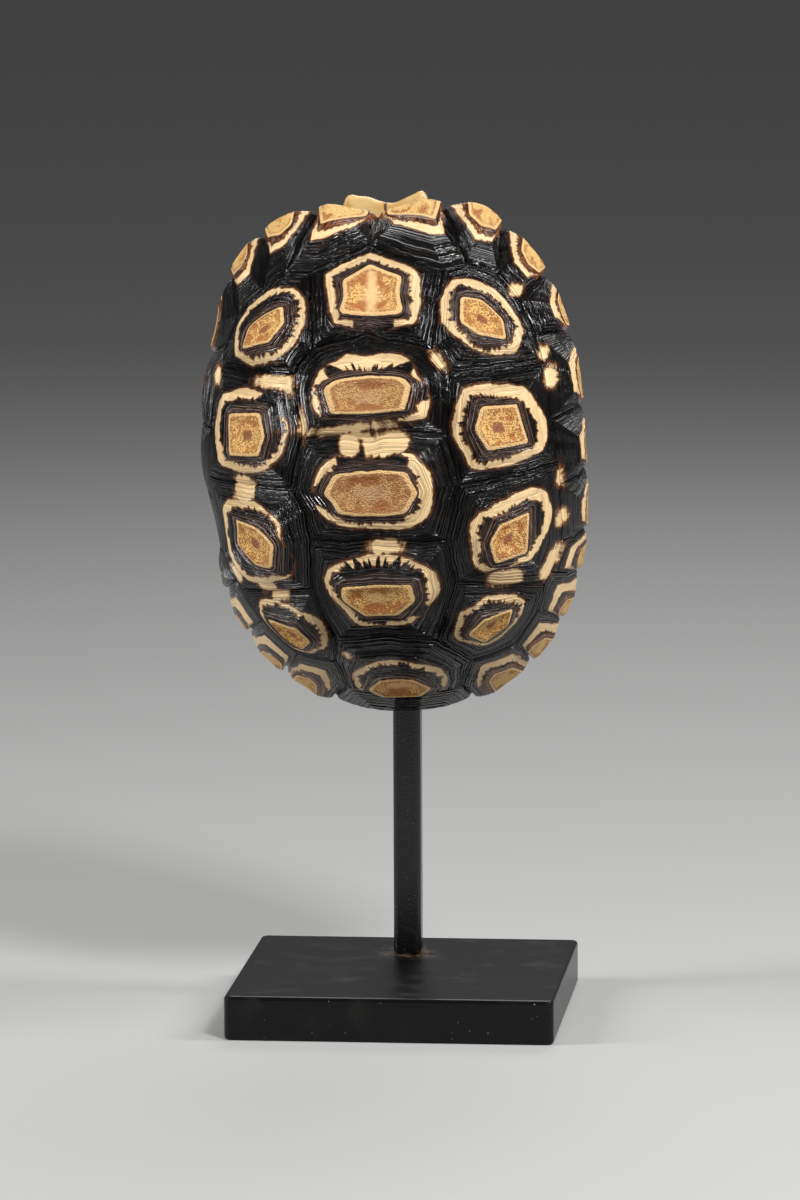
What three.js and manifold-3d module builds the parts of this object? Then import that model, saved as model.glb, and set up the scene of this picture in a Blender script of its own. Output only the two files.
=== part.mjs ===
// The empty shell of a young leopard tortoise, held upright, head end up, on a small display
// stand. Millimetres, +Z up. The origin is the middle of the base plate's underside, and the
// domed back of the shell looks along -Y.
import * as THREE from 'three';
import { ParametricGeometry } from 'three/addons/geometries/ParametricGeometry.js';
import { mergeVertices } from 'three/addons/utils/BufferGeometryUtils.js';
import Module from 'manifold-3d';

const wasm = await Module();
wasm.setup();

// Stand
const BASE_SIDE = 70;
const BASE_HEIGHT = 9.5;
const BASE_EDGE = 0.8;
const POST_SIDE = 6;
const POST_EDGE = 0.7;
const POST_X = -0.7;
const POST_Y = 16.7;
const POST_TOP = 142;
const GAP = 0.3;
const SCREW_RADIUS = 1.5;
const SCREW_HEAD_RADIUS = 3;
const SCREW_HEAD_HEIGHT = 1.7;
const SCREW_TIP = 22;
const SCREW_TAPER = 1;
const SOCKET_RADIUS = 0.9;
const SOCKET_DEPTH = 1;

// Where the shell is held, and how it leans and turns
const SHELL_CENTRE = new THREE.Vector3(-2.9, 0, 118);
const SHELL_ROLL = THREE.MathUtils.degToRad(2.6);
const SHELL_TURN = THREE.MathUtils.degToRad(0.9);

// Shell sizes. Heights are measured from the shell's middle plane, outward to the dome.
const HALF_WIDTH = 41.5;
const HEAD_LENGTH = 56.5;
const TAIL_LENGTH = 54;
const DOME_TOP = 32.5;
const WALL = 2.6;
const PLASTRON_FACE = -23;
const PLASTRON_THICKNESS = 3;

// The dome's profile in each of three directions: how steeply it meets the rim, the length of
// its curve's handle there, the share of the radius that its top handle takes, and the rim's
// height. Every other direction is a mix of these.
const HEAD = { slope: 47, handle: 22, crown: 0.45, rim: -3 };
const SIDE = { slope: 90, handle: 24, crown: 0.6, rim: -8 };
const TAIL = { slope: 54, handle: 30, crown: 0.62, rim: -11.3 };

// The bridge, where the rim turns under to meet the plastron between the legs
const BRIDGE_HALF_LENGTH = 25;
const BRIDGE_FADE = 7;
const BRIDGE_INSET = 4.5;
const BRIDGE_DROP = 8.5;
const FLAT_HALF_WIDTH = 22;
const WING_WIDTH = 15.5;
const WING_RISE = 7.5;

// Half of the plastron's outline, from the notch between the throat plates to the notch at
// the tail, as [across, toward the head]
const PLASTRON_OUTLINE = [
  [0, 56.2], [5, 57.3], [9.4, 55], [12.5, 50], [17.5, 44], [20, 36], [22, 29], [30, 25.5],
  [37, 22], [37.8, 0], [37, -22], [31, -26.5], [22.5, -29], [19.5, -38], [14.5, -45],
  [7, -49.5], [0, -46],
];

// Fineness of the faceted solids
const AROUND = 56;
const DOME_ROWS = 10;
const UNDER_ROWS = 4;
const PLASTRON_ROWS = 5;
const SCREW_SIDES = 24;
const CORNER_SEGMENTS = 3;

const horn = new THREE.MeshStandardMaterial({ color: 0x8a5a35, roughness: 0.32, metalness: 0 });
const blackSteel = new THREE.MeshStandardMaterial({
  color: 0x0d0d0e, roughness: 0.45, metalness: 0.3,
});
const blackPlate = new THREE.MeshStandardMaterial({
  color: 0x0b0b0c, roughness: 0.38, metalness: 0.2,
});
const zincSteel = new THREE.MeshStandardMaterial({
  color: 0x9a9a98, roughness: 0.4, metalness: 0.9,
});

const mix = (a, b, t) => a + (b - a) * t;
const smooth = (t) => {
  const s = THREE.MathUtils.clamp(t, 0, 1);
  return s * s * (3 - 2 * s);
};

// ---------------------------------------------------------------- solids

// A closed surface as a solid: shared vertices merged and collapsed triangles dropped.
function solid(geometry) {
  const bare = geometry.clone();
  bare.deleteAttribute('normal');
  bare.deleteAttribute('uv');
  const merged = mergeVertices(bare, 1e-4);
  const index = merged.index.array;
  const kept = [];
  for (let i = 0; i < index.length; i += 3) {
    const [a, b, c] = [index[i], index[i + 1], index[i + 2]];
    if (a !== b && b !== c && c !== a) kept.push(a, b, c);
  }
  return new wasm.Manifold(new wasm.Mesh({
    numProp: 3,
    vertProperties: new Float32Array(merged.attributes.position.array),
    triVerts: new Uint32Array(kept),
  }));
}

function geometryOf(manifold) {
  const mesh = manifold.getMesh();
  const geometry = new THREE.BufferGeometry();
  geometry.setAttribute('position', new THREE.BufferAttribute(mesh.vertProperties, 3));
  geometry.setIndex(new THREE.BufferAttribute(mesh.triVerts, 1));
  geometry.computeVertexNormals();
  return geometry;
}

function piece(name, geometry, material) {
  const mesh = new THREE.Mesh(geometry, material);
  mesh.name = name;
  return mesh;
}

// ---------------------------------------------------------------- the carapace's surface

// The rim's distance from the middle, in the direction of an angle from the shell's right
// toward its head: a superellipse, squarer at the head than at the tail.
function rimRadius(angle) {
  const power = 2.7 + 0.3 * Math.sin(angle);
  const length = Math.sin(angle) > 0 ? HEAD_LENGTH : TAIL_LENGTH;
  const across = Math.abs(Math.cos(angle)) / HALF_WIDTH;
  const along = Math.abs(Math.sin(angle)) / length;
  return (across ** power + along ** power) ** (-1 / power);
}

function profileAt(angle) {
  const s = Math.sin(angle);
  const head = Math.max(s, 0) ** 2;
  const tail = Math.max(-s, 0) ** 2;
  const side = 1 - head - tail;
  const mixed = (key) => HEAD[key] * head + TAIL[key] * tail + SIDE[key] * side;
  const slope = THREE.MathUtils.degToRad(mixed('slope'));
  const radius = rimRadius(angle);
  const rim = mixed('rim');
  const along = new THREE.Vector2(Math.cos(slope), -Math.sin(slope));
  const edge = new THREE.Vector2(radius, rim);
  const dome = new THREE.CubicBezierCurve(
    new THREE.Vector2(0, DOME_TOP),
    new THREE.Vector2(mixed('crown') * radius, DOME_TOP),
    edge.clone().addScaledVector(along, -mixed('handle')),
    edge,
  );
  const under = new THREE.CubicBezierCurve(
    edge,
    edge.clone().addScaledVector(along, BRIDGE_DROP * 0.5),
    new THREE.Vector2(radius - BRIDGE_INSET * 0.5, rim - BRIDGE_DROP * 0.8),
    new THREE.Vector2(radius - BRIDGE_INSET, rim - BRIDGE_DROP),
  );
  return { dome, under, edge, along };
}

// How much of the bridge there is in a direction: one at the sides, none at the open ends.
function bridgeShare(angle) {
  const height = Math.abs(rimRadius(angle) * Math.sin(angle));
  return 1 - smooth((height - BRIDGE_HALF_LENGTH + BRIDGE_FADE / 2) / BRIDGE_FADE);
}

const outwardOf = (along) => new THREE.Vector2(-along.y, along.x);

// A point of the outer curve, by its place from 0 at the crown to 1 at the rim and 2 at the
// end of the part that turns under, moved inward by a depth.
function outerPoint({ dome, under }, place, depth) {
  const curve = place <= 1 ? dome : under;
  const t = place <= 1 ? place : place - 1;
  const tangent = t === 0 && place <= 1 ? new THREE.Vector2(1, 0) : curve.getTangent(t);
  return curve.getPoint(t).addScaledVector(outwardOf(tangent), -depth);
}

// The rounded free edge at the openings: half a turn about a centre in the wall.
function roundedEdge({ edge, along }, turn) {
  const outward = outwardOf(along);
  const half = WALL / 2;
  return edge.clone()
    .addScaledVector(outward, half * (Math.cos(turn * Math.PI) - 1))
    .addScaledVector(along, half * Math.sin(turn * Math.PI));
}

// The whole section in one direction, from the crown outside, round the rim, and back to the
// crown inside.
function sectionPoint(angle, row) {
  const profile = profileAt(angle);
  const share = bridgeShare(angle);
  if (row <= DOME_ROWS) return outerPoint(profile, row / DOME_ROWS, 0);
  if (row <= DOME_ROWS + UNDER_ROWS) {
    const t = (row - DOME_ROWS) / UNDER_ROWS;
    return roundedEdge(profile, t).lerp(outerPoint(profile, 1 + t, 0), share);
  }
  const back = (row - DOME_ROWS - UNDER_ROWS) / DOME_ROWS;
  return outerPoint(profile, mix(1, 2, share) * (1 - back), WALL);
}

function carapaceGeometry() {
  const rows = 2 * DOME_ROWS + UNDER_ROWS;
  const surface = (u, v, target) => {
    const angle = -u * 2 * Math.PI;
    const point = sectionPoint(angle, Math.round(v * rows));
    target.set(point.x * Math.cos(angle), -point.y, point.x * Math.sin(angle));
  };
  return new ParametricGeometry(surface, AROUND, rows);
}

// ---------------------------------------------------------------- the plastron's surface

function plastronOutline() {
  const left = PLASTRON_OUTLINE.map(([x, z]) => new THREE.Vector2(-x, z));
  const right = left.slice(1, -1).reverse().map(({ x, y }) => new THREE.Vector2(-x, y));
  return [...left, ...right];
}

// Flat in the middle, and rising along a parabola in the wings that meet the rim.
function plastronHeight(x) {
  const reach = Math.max(Math.abs(x) - FLAT_HALF_WIDTH, 0) / WING_WIDTH;
  return PLASTRON_FACE + WING_RISE * reach * reach;
}

function plastronGeometry() {
  const outline = plastronOutline();
  const rows = 2 * PLASTRON_ROWS + 1;
  const surface = (u, v, target) => {
    const corner = outline[Math.round(u * outline.length) % outline.length];
    const row = Math.round(v * rows);
    const outside = row <= PLASTRON_ROWS;
    const reach = outside ? row / PLASTRON_ROWS : (rows - row) / PLASTRON_ROWS;
    const height = plastronHeight(corner.x * reach) + (outside ? 0 : PLASTRON_THICKNESS);
    target.set(corner.x * reach, -height, corner.y * reach);
  };
  return new ParametricGeometry(surface, outline.length, rows);
}

function shell() {
  const joined = solid(carapaceGeometry()).add(solid(plastronGeometry()));
  const mesh = piece('tortoise_shell', geometryOf(joined), horn);
  mesh.position.copy(SHELL_CENTRE);
  mesh.rotation.set(0, -SHELL_ROLL, -SHELL_TURN, 'ZYX');
  return mesh;
}

// ---------------------------------------------------------------- the stand

function roundedSquare(side, corner) {
  const h = side / 2;
  const shape = new THREE.Shape();
  shape.moveTo(-h + corner, -h);
  shape.lineTo(h - corner, -h);
  shape.absarc(h - corner, -h + corner, corner, -Math.PI / 2, 0);
  shape.lineTo(h, h - corner);
  shape.absarc(h - corner, h - corner, corner, 0, Math.PI / 2);
  shape.lineTo(-h + corner, h);
  shape.absarc(-h + corner, h - corner, corner, Math.PI / 2, Math.PI);
  shape.lineTo(-h, -h + corner);
  shape.absarc(-h + corner, -h + corner, corner, Math.PI, 1.5 * Math.PI);
  return shape;
}

// A bar of rounded square section whose two ends are softened by the same radius.
function squareBar(side, height, corner) {
  const geometry = new THREE.ExtrudeGeometry(roundedSquare(side - 2 * corner, corner), {
    depth: height - 2 * corner,
    bevelEnabled: true,
    bevelThickness: corner,
    bevelSize: corner,
    bevelSegments: CORNER_SEGMENTS,
    curveSegments: CORNER_SEGMENTS,
  });
  return geometry.translate(0, 0, corner);
}

function turned(profile) {
  const points = profile.map(([r, z]) => new THREE.Vector2(r, z));
  return new THREE.LatheGeometry(points, SCREW_SIDES).rotateX(Math.PI / 2);
}

// The screw's outline, grown by a clearance so that the same shape also cuts its hole. The
// hole starts below the plate's face, and its blind end lies past the screw's tip.
function screwProfile(clearance) {
  const mouth = clearance > 0 ? -1 : GAP;
  const head = SCREW_HEAD_RADIUS + clearance;
  const shank = SCREW_RADIUS + clearance;
  const tip = SCREW_TIP + 2 * clearance;
  return [
    [0, mouth], [head, mouth], [head, GAP],
    [shank, SCREW_HEAD_HEIGHT + GAP], [shank, tip - SCREW_TAPER], [shank - SCREW_TAPER, tip],
    [0, tip],
  ].filter(([r, z], i, all) => i === 0 || r !== all[i - 1][0] || z !== all[i - 1][1]);
}

const screwHole = solid(turned(screwProfile(GAP)).translate(POST_X, POST_Y, 0));

function base() {
  const plate = solid(squareBar(BASE_SIDE, BASE_HEIGHT, BASE_EDGE));
  return piece('stand_base', geometryOf(plate.subtract(screwHole)), blackPlate);
}

function post() {
  const foot = BASE_HEIGHT + GAP;
  const bar = squareBar(POST_SIDE, POST_TOP - foot, POST_EDGE).translate(POST_X, POST_Y, foot);
  return piece('stand_post', geometryOf(solid(bar).subtract(screwHole)), blackSteel);
}

function screw() {
  const body = solid(turned(screwProfile(0)));
  const socket = solid(turned([
    [0, -GAP], [SOCKET_RADIUS, -GAP], [SOCKET_RADIUS, SOCKET_DEPTH], [0, SOCKET_DEPTH],
  ]));
  const mesh = piece('post_screw', geometryOf(body.subtract(socket)), zincSteel);
  mesh.position.set(POST_X, POST_Y, 0);
  return mesh;
}

const model = new THREE.Group();
model.add(base(), post(), screw(), shell());

export default model;
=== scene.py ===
"""The empty shell of a young leopard tortoise, held head end up on a small black stand.

Shapes are worked out in millimetres in the shell's own axes (across to its right, along to its
head, and out through its dome) and turned into metres in the model's frame at the end.
"""
import bpy
import numpy as np
from mathutils import Matrix


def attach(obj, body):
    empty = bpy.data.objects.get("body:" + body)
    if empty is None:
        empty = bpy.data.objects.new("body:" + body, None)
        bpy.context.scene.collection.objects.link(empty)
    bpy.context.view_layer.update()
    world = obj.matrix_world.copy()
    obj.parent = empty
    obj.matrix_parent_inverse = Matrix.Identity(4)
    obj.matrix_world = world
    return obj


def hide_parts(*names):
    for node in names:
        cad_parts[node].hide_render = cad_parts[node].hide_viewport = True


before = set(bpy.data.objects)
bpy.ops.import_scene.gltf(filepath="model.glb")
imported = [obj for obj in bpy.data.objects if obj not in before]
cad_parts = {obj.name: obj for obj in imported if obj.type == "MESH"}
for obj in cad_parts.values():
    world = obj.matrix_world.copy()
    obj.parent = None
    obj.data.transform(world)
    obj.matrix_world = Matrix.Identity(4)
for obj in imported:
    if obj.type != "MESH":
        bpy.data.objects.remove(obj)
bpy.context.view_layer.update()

MM = 0.001

# ---- the shell's driving sizes

SHELL_CENTRE = np.array([-2.9, 0.0, 118.0])
SHELL_ROLL = np.radians(2.6)
SHELL_TURN = np.radians(0.9)

HALF_WIDTH = 41.5
HEAD_LENGTH = 56.5
TAIL_LENGTH = 54.0
# The power of the outline's superellipse at the sides, and what the head's end adds to it.
OUTLINE_POWER = 2.7
HEAD_POWER = 0.3
# The left side stands in from the right one's mirror image: evenly, and more at two hollows,
# each (place along the shell, depth, reach).
LEFT_INSET = 0.9
LEFT_HOLLOWS = [(33.5, 2.4, 10), (-13, 2.2, 9)]
DOME_TOP = 32.5
WALL = 2.6

# For the head end, the sides and the tail end: how steeply the dome meets the rim, the length
# of its curve's handle there, the share of the radius that its top handle takes, and the
# rim's height.
HEAD = (47, 22, 0.45, -3)
SIDE = (90, 24, 0.6, -8)
TAIL = (54, 30, 0.62, -11.3)

# Along the bridges the rim turns in and down to meet the plastron, and past their ends that
# fades out.
BRIDGE_HALF_LENGTH = 25
BRIDGE_FADE = 7
BRIDGE_INSET = 4.5
BRIDGE_DROP = 8.5
# The shares of the inset and of the drop that this turn's handles take.
BRIDGE_HANDLE_IN = 0.5
BRIDGE_HANDLE_DOWN = 0.8

# The chart of the carapace is a disc: its middle is the crown of the dome, its radius is 1 at
# the rim, and the horn ends at RIM_END after it has turned under and, at the open ends, run
# back inside by the LIP. The dips of the rim start at DIPS_FROM.
RIM_END = 1.3
LIP = 0.08
DIPS_FROM = 0.84

# The plastron is flat in the middle and has a wing on either side that rises to the bridge.
PLASTRON_FACE = -23
PLASTRON_THICKNESS = 3
FLAT_HALF_WIDTH = 22
WING_WIDTH = 15.5
WING_RISE = 7.5

# ---- the scutes' corners

# Where seams meet on the dome, as [right side, left side], each (across, along).
CORNERS = {
    "v1 m1 c1": [(14.9, 43.2), (-13.4, 43.4)],
    "v1 v2 c1": [(13.3, 27.7), (-11.9, 28.8)],
    "v2 c1 c2": [(17.0, 22.1), (-15.9, 23.5)],
    "v2 v3 c2": [(16.2, 10.3), (-14.5, 10.2)],
    "v3 c2 c3": [(18.4, -0.7), (-17.4, 0.1)],
    "v3 v4 c3": [(15.1, -12.2), (-13.7, -11.2)],
    "v4 c3 c4": [(16.2, -21.6), (-14.3, -22.1)],
    "v4 v5 c4": [(10.7, -34.9), (-10.9, -34.1)],
    "v5 c4 m11": [(16.4, -41.2), (-12.5, -40.2)],
    "v5 m11 s": [(12.7, -48.9), (-11.8, -47.6)],
    "m1 m2": [(19.8, 44.1), (-18.5, 43.5)],
    "m2 m3": [(25.9, 41.6), (-23.6, 39.4)],
    "m3 m4": [(30.6, 35.5), (-29.2, 34.6)],
    "m4 m5": [(33.7, 28.2), (-32.4, 28.6)],
    "m5 c1 c2": [(35.2, 22.3), (-33.9, 23.8)],
    "m5 m6": [(36.6, 10.4), (-36.2, 11.0)],
    "m6 c2 c3": [(37.6, 1.4), (-37.4, 0.6)],
    "m6 m7": [(37.8, -3.6), (-37.2, -4.2)],
    "m7 m8": [(37.4, -16.1), (-35.6, -16.4)],
    "m8 m9": [(34.6, -22.6), (-32.6, -21.4)],
    "m9 c3 c4": [(33.2, -25.0), (-31.0, -23.6)],
    "m9 m10": [(31.0, -31.0), (-27.4, -30.4)],
    "m10 m11": [(25.6, -38.4), (-20.6, -38.4)],
}
# Points on the midline, and one more on each of two seams that bend.
MIDLINE = {
    "m1 m1": (-0.7, 48.3),
    "v1 v2": (-0.4, 31.6),
    "v2 v3 r": (8.0, 11.1),
    "v2 v3 l": (-5.2, 11.1),
    "v3 v4": (0.6, -11.2),
    "v4 v5": (0.2, -33.4),
    "v5 s": (0.2, -49.6),
}
# The marginals' seams at the rim: the direction on the right and on the left in degrees from
# the shell's right toward its head, and how far the rim dips in there. The notch over the neck
# is as deep as its second number and runs straight out over the third on either side.
NOTCH = (90.1, 3.1, 10.0)
RIM_SEAMS = {
    "m1 m2": (75.7, 103.4, 1.3),
    "m2 m3": (62.3, 116.0, 1.6),
    "m3 m4": (48.9, 127.3, 1.4),
    "m4 m5": (35.0, 146.0, 0.8),
    "m5 m6": (15.6, 164.0, 0.4),
    "m6 m7": (-3.2, 182.8, 0.3),
    "m7 m8": (-21.0, 201.0, 0.5),
    "m8 m9": (-32.3, 215.0, 0.8),
    "m9 m10": (-45.1, 226.8, 1.1),
    "m10 m11": (-57.7, 239.7, 1.3),
    "m11 s": (-74.4, 253.0, 1.0),
}
# Each dip fades fast on its head side, where the scute's corner juts out, and slowly past it.
HEADWARD_FADE = 0.9
TAILWARD_FADE = 4.0
# Stretches where the rim stands out or falls back: degrees, how far, and over how much rim.
RIM_SWELLS = [(68, 1.3, 4.0), (110, 0.3, 4.0)]

R, L = 0, 1


def right(*names):
    """Corners on the right side."""
    return [(name, R) for name in names]


def left(*names):
    """Corners on the left side."""
    return [(name, L) for name in names]


# The large scutes: the corners of each, counterclockwise from outside.
VERTEBRAL_CORNERS = {
    1: right("v1 v2 c1", "v1 m1 c1") + ["m1 m1"] + left("v1 m1 c1", "v1 v2 c1") + ["v1 v2"],
    2: right("v2 c1 c2", "v1 v2 c1") + ["v1 v2"] + left("v1 v2 c1", "v2 c1 c2", "v2 v3 c2")
    + ["v2 v3 l", "v2 v3 r"] + right("v2 v3 c2"),
    3: right("v3 c2 c3", "v2 v3 c2") + ["v2 v3 r", "v2 v3 l"]
    + left("v2 v3 c2", "v3 c2 c3", "v3 v4 c3") + ["v3 v4"] + right("v3 v4 c3"),
    4: right("v4 c3 c4", "v3 v4 c3") + ["v3 v4"] + left("v3 v4 c3", "v4 c3 c4", "v4 v5 c4")
    + ["v4 v5"] + right("v4 v5 c4"),
    5: right("v5 c4 m11", "v4 v5 c4") + ["v4 v5"] + left("v4 v5 c4", "v5 c4 m11", "v5 m11 s")
    + ["v5 s"] + right("v5 m11 s"),
}
COSTAL_CORNERS = {
    1: ("v2 c1 c2", "m5 c1 c2", "m4 m5", "m3 m4", "m2 m3", "m1 m2", "v1 m1 c1", "v1 v2 c1"),
    2: ("v3 c2 c3", "m6 c2 c3", "m5 m6", "m5 c1 c2", "v2 c1 c2", "v2 v3 c2"),
    3: ("v4 c3 c4", "m9 c3 c4", "m8 m9", "m7 m8", "m6 m7", "m6 c2 c3", "v3 c2 c3", "v3 v4 c3"),
    4: ("v5 c4 m11", "m10 m11", "m9 m10", "m9 c3 c4", "v4 c3 c4", "v4 v5 c4"),
}

# The outline of each large scute's areola, the grainy scute that the animal hatched with.
AREOLAE = {
    "v1": [(-6.0, 40.6), (-0.3, 43.5), (6.7, 40.9), (6.3, 37.6), (7.4, 33.9), (-6.5, 34.4),
           (-5.5, 37.4)],
    "v2": [(-9.2, 20.0), (-6.6, 21.5), (-3, 21.9), (0.4, 22.1), (4, 21.9), (7.2, 21.6), (9.2, 20.0),
           (7.7, 15.1), (3.5, 14.9), (0, 14.8), (-3.5, 14.8), (-7.5, 14.8)],
    "v3": [(-9.7, -1.2), (-7.2, 3.0), (0.2, 3.3), (7.6, 3.0), (9.8, -1.6), (7.2, -5.6), (0, -5.7),
           (-6.6, -5.2)],
    "v4": [(-7.4, -20.4), (0, -20.2), (7.2, -20.4), (7.6, -24.0), (3.6, -27.0), (-3.2, -27.0),
           (-7.6, -23.2)],
    "v5": [(-6.6, -46.0), (-3.6, -43.4), (0, -43.1), (3.6, -43.4), (7.2, -46.0), (4.2, -48.3),
           (-4.0, -48.3)],
    "c1r": [(18.5, 36.5), (22.5, 35.6), (26.5, 31.5), (27.2, 27.5), (22.0, 29.0), (18.6, 31.5)],
    "c1l": [(-18.0, 36.0), (-17.5, 32.5), (-20.5, 29.0), (-26.5, 27.5), (-25.0, 32.0)],
    "c2r": [(22.5, 15.0), (29.0, 14.6), (31.0, 6.6), (23.5, 6.0), (21.0, 10.5)],
    "c2l": [(-29.5, 14.5), (-22.5, 15.0), (-21.4, 10.5), (-23.0, 6.4), (-29.5, 6.2)],
    "c3r": [(25.0, -9.5), (30.5, -7.6), (29.6, -16.0), (23.5, -17.5), (22.8, -13.0)],
    "c3l": [(-29.0, -7.0), (-24.5, -8.5), (-20.5, -12.0), (-21.5, -17.0), (-25.0, -16.5),
            (-29.0, -12.5)],
    "c4r": [(26.0, -27.5), (24.5, -31.5), (19.5, -35.0), (16.5, -32.5), (20.0, -29.5)],
    "c4l": [(-24.5, -28.0), (-18.0, -30.0), (-15.5, -33.0), (-18.0, -35.2), (-21.0, -33.2)],
}

# The outer edge of each cream band.
BAND_EDGES = {
    "v1": [(10.5, 41), (8.5, 43.5), (5, 44.5), (-0.5, 46.5), (-6, 44.5), (-10, 42.5), (-9, 36.5),
           (-7.5, 32.5), (0.5, 31.5), (10, 32), (10.5, 35.5)],
    "v2": [(13, 17), (10.5, 22), (8, 26), (4.5, 27), (-0.5, 26), (-4.5, 27), (-7, 25.5),
           (-11, 22.5), (-11.5, 16), (-8, 13.5), (7.5, 13), (12, 13.5)],
    "v3": [(13, -3), (12.5, 3), (9, 6.5), (0, 7.5), (-8.5, 6), (-12, 1), (-12, -4.5), (-6.5, -8),
           (0, -8.5), (7.5, -9), (12, -6.5)],
    "v4": [(13, -23), (12, -18.5), (10, -17), (5, -14.5), (-1.5, -14), (-5, -15.5), (-9.5, -16.5),
           (-11, -19), (-10.5, -21.5), (-5, -29.5), (-1, -30), (5.5, -29.5), (10.5, -25.5)],
    "v5": [(11, -45), (10, -41.5), (5.5, -40), (0.5, -38.5), (-5, -39.5), (-8.5, -41.5),
           (-10, -44), (-9, -47), (9, -48)],
    "c1r": [(31, 29), (29, 33.5), (25, 38), (21, 40), (16.5, 40.5), (14.5, 36.5), (15, 32.5),
            (17.5, 29.5), (21, 26.5), (25.5, 25), (29.5, 25)],
    "c1l": [(-13.5, 37), (-16, 40), (-20.5, 40), (-25.5, 38), (-28, 34.5), (-29.5, 31.5),
            (-29, 26), (-25.5, 24.5), (-19, 26), (-16, 28.5), (-14, 31.5)],
    "c2r": [(35.5, 7.5), (35, 11.5), (31, 18), (25.5, 19.5), (19.5, 19.5), (18, 16), (17, 10.5),
            (21, 2), (29, 2.5), (34, 4.5)],
    "c2l": [(-17, 11), (-17, 13), (-19.5, 17), (-23, 19.5), (-27, 20), (-32.5, 18), (-33.5, 15.5),
            (-34.5, 10), (-32.5, 4), (-27.5, 2.5), (-22, 3.5), (-18.5, 7)],
    "c3r": [(35.5, -8.5), (34.5, -4), (31.5, -2.5), (21, -7), (19.5, -9.5), (19.5, -17.5),
            (21.5, -19.5), (30.5, -18), (35, -11)],
    "c3l": [(-17, -15.5), (-19, -11.5), (-19.5, -8), (-21.5, -5.5), (-25, -3), (-31.5, -3),
            (-33, -5.5), (-33.5, -10.5), (-32, -17), (-28, -21), (-24, -21), (-17.5, -18.5)],
    "c4r": [(28.5, -27), (27, -25.5), (21.5, -25), (16, -28), (14, -33), (15, -35), (19.5, -36),
            (22.5, -35), (27.5, -30)],
    "c4l": [(-12, -33), (-12.5, -30.5), (-15, -27.5), (-19, -25.5), (-22.5, -24.5), (-26, -24.5),
            (-26.5, -25.5), (-26, -29.5), (-24, -33), (-20.5, -36), (-16, -36.5), (-13, -35.5)],
}
BAND_STRETCH = 1.05
# How wide each cream band is before BAND_STRETCH: a direction from the areola's middle, in
# degrees from the shell's right toward its head, and the width there. Below 0 it is a gap.
BAND_WIDTHS = {
    "v1": [(0, 2.3), (90, 2.6), (180, 2.0), (238, 1.6), (252, -1), (292, -1), (308, 1.8)],
    "v2": [(0, -.4), (20, 1.3), (34, -.3), (46, 3.6), (62, 4.2), (90, 3.4), (118, 4.2), (132, 3.2),
           (146, -.2), (157, 2.6), (168, 1.2), (178, .3), (188, 1.7), (200, 1.2), (212, -1),
           (300, -1), (322, 1.6), (340, 2.6)],
    "v3": [(0, 3.3), (30, 2.8), (46, .8), (60, -1), (118, -1), (138, 1.8), (150, 2.4), (164, 1.5),
           (175, .4), (183, -.6), (203, 1.9), (235, 1.6), (262, 1.2), (275, 1.5), (300, 2.0),
           (335, 3.0)],
    "v4": [(5, 2.9), (40, 1.3), (60, 1.8), (90, 2.4), (120, 1.8), (150, 1.3), (180, 2.2),
           (230, 1.8), (262, 1.5), (270, .2), (278, 1.6), (310, 1.8), (334, -.4), (348, 1.8)],
    "v5": [(0, 1.6), (45, 2.2), (90, 2), (135, 2), (180, 1.8), (212, -1), (328, -1)],
    "c1r": [(0, 2.5), (45, 2.6), (90, 2.6), (135, 2.0), (180, 2.2), (220, 1.6), (262, .6),
            (290, 1.2), (330, 2.2)],
    "c1l": [(0, 1.8), (45, 1.6), (90, 2.2), (135, 2.4), (180, 2.4), (225, 2.0), (270, 1.8),
            (315, 1.6)],
    "c2r": [(0, 4), (45, 3.6), (90, 3), (135, 2.4), (180, 1.8), (225, 1.6), (270, 1.8), (315, 2.2)],
    "c2l": [(0, 1.0), (18, .8), (32, -1.2), (60, -.8), (76, 1.8), (90, 2.4), (135, 3.0), (180, 3.6),
            (225, 2.4), (270, 1.8), (315, 1.4)],
    "c3r": [(0, 3.2), (45, 3), (90, 2.4), (135, 2.0), (180, 2.0), (225, 1.4), (258, -.2),
            (285, 1.4), (320, 2.6)],
    "c3l": [(0, -.4), (30, 1.0), (60, .8), (100, 1.8), (150, 2.6), (180, 2.8), (225, 2.4),
            (270, 2.0), (315, 1.6)],
    "c4r": [(0, 1.5), (45, 1.8), (90, 1.4), (135, 1.6), (180, 1.4), (225, 1.6), (270, 1.4),
            (315, 1.4)],
    "c4l": [(0, 1.8), (45, 2), (90, 1.2), (135, 1.6), (180, 1.5), (225, 1.3), (270, 1.4),
            (315, 1.5)],
}

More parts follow.
